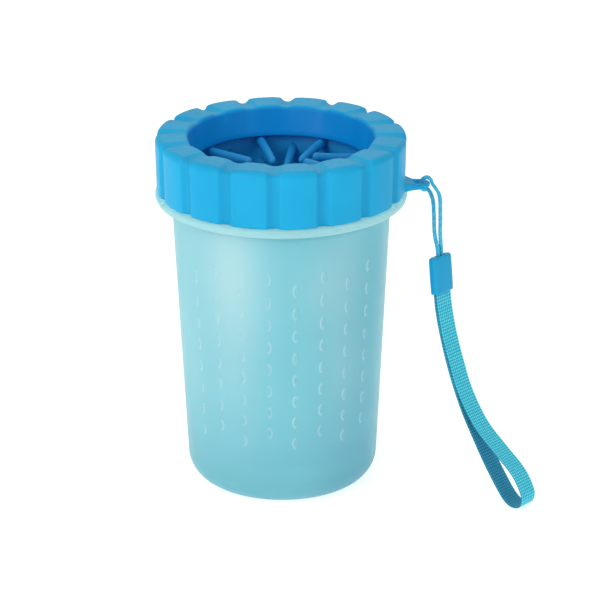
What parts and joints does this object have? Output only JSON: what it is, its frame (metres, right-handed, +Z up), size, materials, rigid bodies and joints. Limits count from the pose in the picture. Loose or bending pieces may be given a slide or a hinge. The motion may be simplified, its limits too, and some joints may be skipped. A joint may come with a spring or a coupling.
{
  "type": "paw washer cup",
  "caption": "Portable paw washer: translucent ribbed-dot cup, silicone bristle insert, scalloped screw-on lid ring with open centre, and a wrist strap on a cord.",
  "frame": {"origin": "centre of the cup's flat underside", "axes": "+Z up along the cup's axis, -Y to the front, +X to the lug and wrist strap"},
  "size_m": [0.1442, 0.0912, 0.11],
  "materials": {
    "frosted_plastic": "frosted translucent polypropylene",
    "blue_silicone": "satin moulded silicone",
    "clear_silicone": "milky silicone",
    "blue_plastic": "satin polypropylene",
    "braided_cord": "tight polyester braid",
    "ferrule_plastic": "satin moulded plastic",
    "sewing_thread": "bonded thread",
    "webbing": "plain-woven polyester webbing"
  },
  "bodies": {
    "cup": {"cup": "frosted_plastic"},
    "brush": {"brush_insert": "blue_silicone"},
    "seal": {"seal_ring": "clear_silicone"},
    "lid": {"lid_ring": "blue_plastic"},
    "cord": {"cord_loop": "braided_cord"},
    "strap": {"strap_ferrule": "ferrule_plastic", "strap_stitching": "sewing_thread", "wrist_strap": "webbing"}
  },
  "joints": [
    {"name": "brush_lift_out", "type": "slide", "parent": "cup", "child": "brush", "axis": [0, 0, 1], "range_m": [0, 0.095]},
    {"name": "lid_rise", "type": "slide", "parent": "brush", "child": "seal", "axis": [0, 0, 1], "range_m": [-0.0002, 0.0042]},
    {"name": "lid_turn", "type": "hinge", "parent": "seal", "child": "lid", "pos_m": [0, 0, 0.1], "axis": [0, 0, 1], "range_deg": [0, 90]},
    {"name": "cord_swing", "type": "hinge", "parent": "lid", "child": "cord", "pos_m": [0.0525, 0, 0.09465], "axis": [0, -1, 0], "range_deg": [0, 75]},
    {"name": "strap_swing", "type": "hinge", "parent": "cord", "child": "strap", "pos_m": [0.0588, -0.00411, 0.07237], "axis": [-0.6947, -0.7193, 0], "range_deg": [0, 20]}
  ],
  "couplings": [
    {"joint": "lid_rise", "follows": "lid_turn", "m_per_rad": 0.0025465}
  ]
}
